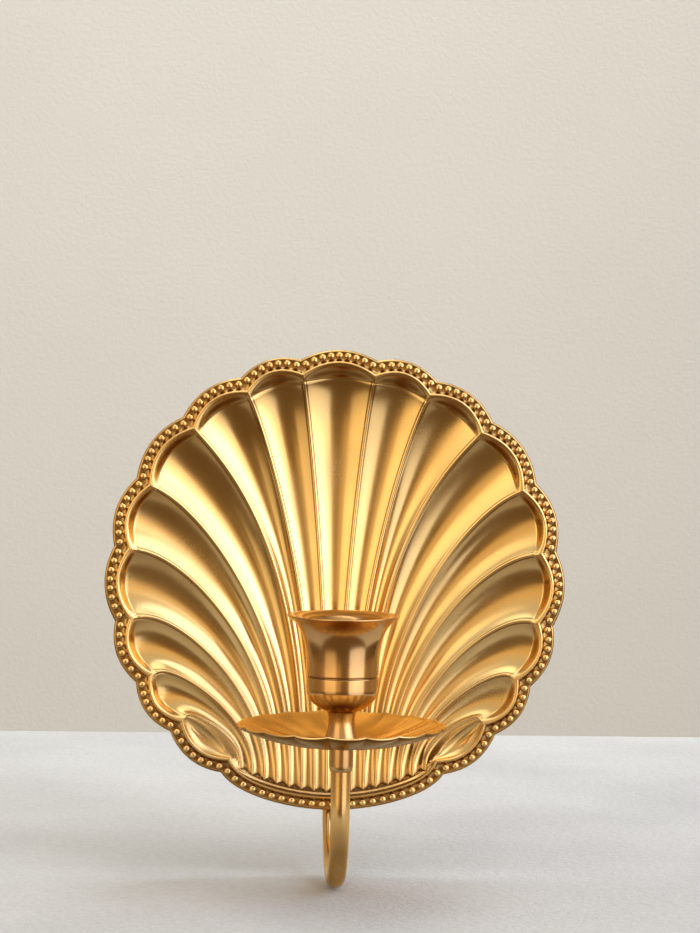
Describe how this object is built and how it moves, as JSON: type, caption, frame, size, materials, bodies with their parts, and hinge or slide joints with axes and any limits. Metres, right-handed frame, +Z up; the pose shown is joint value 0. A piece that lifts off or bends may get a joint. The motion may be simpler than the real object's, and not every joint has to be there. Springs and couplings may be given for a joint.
{
  "type": "candle wall sconce",
  "caption": "Brass wall sconce for a candle: a round scallop-shell plate with a beaded edge, and a bent rod arm with a fluted drip pan and a flared candle cup.",
  "frame": {"origin": "middle of the hanging hole, in the plane of the wall", "axes": "+Y into the wall, +Z up, +X to the right as one faces the sconce"},
  "size_m": [0.203, 0.1277, 0.2308],
  "materials": {
    "plate_brass": "polished, lightly tarnished",
    "pan_brass": "satin",
    "turned_brass": "turned and polished",
    "rod_brass": "polished",
    "fitting_brass": "dull, unpolished"
  },
  "bodies": {
    "root": {"shell_backplate": "plate_brass", "hanger_strap": "fitting_brass", "arm_lug": "fitting_brass", "arm_rod": "rod_brass", "lug_washer": "fitting_brass", "lug_nut": "fitting_brass", "rod_ferrule": "turned_brass", "drip_pan": "pan_brass", "candle_cup": "turned_brass", "cup_stud": "fitting_brass"}
  },
  "joints": []
}
